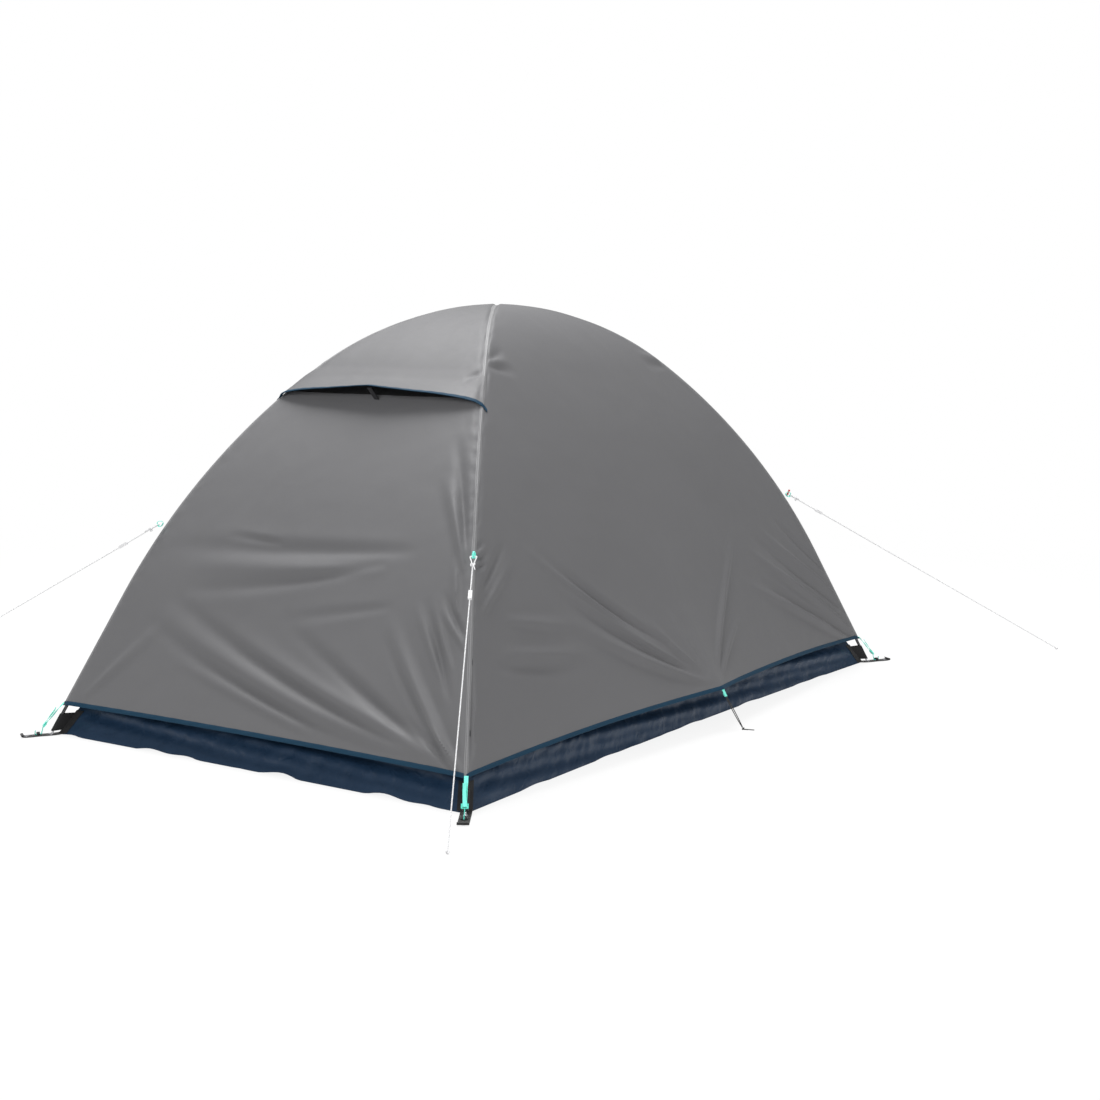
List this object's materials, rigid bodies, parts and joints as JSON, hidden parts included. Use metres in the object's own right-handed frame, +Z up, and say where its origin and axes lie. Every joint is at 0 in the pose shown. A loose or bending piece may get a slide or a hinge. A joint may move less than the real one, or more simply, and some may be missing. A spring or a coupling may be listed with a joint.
{
  "type": "two-person dome tent",
  "caption": "Low dome tent: flysheet with vented rear end and roll-up front door over an inner tent with bathtub floor, on crossed bent poles, with corner tensioners and guy lines.",
  "frame": {"origin": "on the ground under the middle of the floor", "axes": "+Z up, +Y along the floor towards the vented rear end (the door end looks along -Y), +X to the right seen from the door"},
  "size_m": [2.4779, 2.9289, 1.127],
  "materials": {
    "fly_cloth": "coated polyester, satin",
    "navy_tape": "woven binding tape",
    "tub_cloth": "laminated polyethylene weave",
    "inner_cloth": "breathable polyester",
    "vent_net": "fine knitted net",
    "fibreglass": "pultruded glass fibre",
    "steel": "plated",
    "elastic": "braided elastic",
    "clip_plastic": "moulded",
    "black_webbing": "woven webbing",
    "mint_tape": "woven tape",
    "mint_plastic": "moulded",
    "white_cord": "braided cord",
    "runner_plastic": "moulded",
    "zip_coil": "nylon coil and tape",
    "zip_metal": "enamelled",
    "red_tag": "woven tape",
    "black_cord": "braided cord"
  },
  "bodies": {
    "tent": {"groundsheet": "tub_cloth", "tub_left_wall": "tub_cloth", "tub_right_wall": "tub_cloth", "tub_rear_wall": "tub_cloth", "tub_front_wall": "tub_cloth", "inner_left_wall": "inner_cloth", "inner_right_wall": "inner_cloth", "inner_rear_wall": "inner_cloth", "inner_front_wall": "inner_cloth", "inner_zip": "zip_coil", "upper_pole_tubes": "fibreglass", "upper_pole_ferrules": "steel", "upper_pole_tips": "steel", "upper_pole_shock_cord": "elastic", "under_pole_tubes": "fibreglass", "under_pole_ferrules": "steel", "under_pole_tips": "steel", "under_pole_shock_cord": "elastic", "pole_clips": "clip_plastic", "lantern_loop": "black_webbing", "corner_straps": "black_webbing", "corner_grommets": "steel", "tension_tapes": "mint_tape", "tension_adjusters": "mint_plastic", "tension_hooks": "mint_plastic", "fly_left_panel": "fly_cloth", "fly_right_panel": "fly_cloth", "fly_rear_panel": "fly_cloth", "fly_front_panel": "fly_cloth", "vent_hood": "fly_cloth", "vent_mesh": "vent_net", "hood_binding": "navy_tape", "hem_binding": "navy_tape", "fly_zips": "zip_coil", "guy_loops": "mint_tape", "guy_knots": "white_cord", "marker_tag": "red_tag", "side_tabs": "mint_tape", "side_cord_left": "black_cord", "side_cord_right": "black_cord", "side_knots": "black_cord", "guy_line_rear_left": "white_cord", "guy_line_front_left": "white_cord", "guy_line_rear_right": "white_cord", "guy_line_front_right": "white_cord"},
    "fly_door": {"fly_door": "fly_cloth", "door_binding": "navy_tape"},
    "inner_door": {"inner_door": "inner_cloth"},
    "fly_zip_slider_left": {"fly_zip_slider_left": "zip_metal"},
    "fly_zip_slider_right": {"fly_zip_slider_right": "zip_metal"},
    "fly_zip_pull_left": {"fly_zip_pull_left": "zip_metal"},
    "fly_zip_pull_right": {"fly_zip_pull_right": "zip_metal"},
    "inner_zip_slider": {"inner_zip_slider": "zip_metal"},
    "inner_zip_pull": {"inner_zip_pull": "zip_metal"},
    "vent_prop": {"vent_prop": "clip_plastic"},
    "lantern_ring": {"lantern_ring": "clip_plastic"},
    "guy_runner_rear_left": {"guy_runner_rear_left": "runner_plastic"},
    "guy_runner_front_left": {"guy_runner_front_left": "runner_plastic"},
    "guy_runner_rear_right": {"guy_runner_rear_right": "runner_plastic"},
    "guy_runner_front_right": {"guy_runner_front_right": "runner_plastic"}
  },
  "joints": [
    {"name": "fly_door_swing", "type": "hinge", "parent": "tent", "child": "fly_door", "pos_m": [0, -0.61017, 0.8], "axis": [-1, 0, 0], "range_deg": [0, 120]},
    {"name": "inner_door_drop", "type": "hinge", "parent": "tent", "child": "inner_door", "pos_m": [0, -0.96174, 0.12712], "axis": [-1, 0, 0], "range_deg": [0, 60]},
    {"name": "fly_slider_left_travel", "type": "slide", "parent": "fly_door", "child": "fly_zip_slider_left", "axis": [0.2193, 0.427, 0.8773], "range_m": [0, 0.26]},
    {"name": "fly_slider_right_travel", "type": "slide", "parent": "fly_door", "child": "fly_zip_slider_right", "axis": [-0.2193, 0.427, 0.8773], "range_m": [0, 0.26]},
    {"name": "inner_slider_travel", "type": "slide", "parent": "inner_door", "child": "inner_zip_slider", "axis": [-0.2582, 0.4228, 0.8687], "range_m": [0, 0.18]},
    {"name": "fly_pull_left_flip", "type": "hinge", "parent": "fly_zip_slider_left", "child": "fly_zip_pull_left", "pos_m": [-0.41975, -1.03209, 0.11628], "axis": [-0.9757, 0.096, 0.1972], "range_deg": [0, 170]},
    {"name": "fly_pull_right_flip", "type": "hinge", "parent": "fly_zip_slider_right", "child": "fly_zip_pull_right", "pos_m": [0.41975, -1.03209, 0.11628], "axis": [-0.9757, -0.096, -0.1972], "range_deg": [0, 170]},
    {"name": "inner_pull_flip", "type": "hinge", "parent": "inner_zip_slider", "child": "inner_zip_pull", "pos_m": [0.3479, -0.93845, 0.15784], "axis": [0.9661, 0.113, 0.2321], "range_deg": [0, 170]},
    {"name": "vent_prop_fold", "type": "hinge", "parent": "tent", "child": "vent_prop", "pos_m": [0, 0.53328, 0.88175], "axis": [-1, 0, 0], "range_deg": [0, 80]},
    {"name": "lantern_ring_swing", "type": "hinge", "parent": "tent", "child": "lantern_ring", "pos_m": [0, 0, 1.0565], "axis": [1, 0, 0], "range_deg": [-75, 75]},
    {"name": "guy_runner_rear_left_slide", "type": "slide", "parent": "tent", "child": "guy_runner_rear_left", "axis": [-0.3761, 0.6284, -0.681], "range_m": [-0.06, 0.4]},
    {"name": "guy_runner_front_left_slide", "type": "slide", "parent": "tent", "child": "guy_runner_front_left", "axis": [-0.5221, -0.7046, -0.4806], "range_m": [-0.06, 0.4]},
    {"name": "guy_runner_rear_right_slide", "type": "slide", "parent": "tent", "child": "guy_runner_rear_right", "axis": [0.7758, 0.3861, -0.4991], "range_m": [-0.06, 0.4]},
    {"name": "guy_runner_front_right_slide", "type": "slide", "parent": "tent", "child": "guy_runner_front_right", "axis": [0.5195, -0.7036, -0.4848], "range_m": [-0.06, 0.4]}
  ]
}
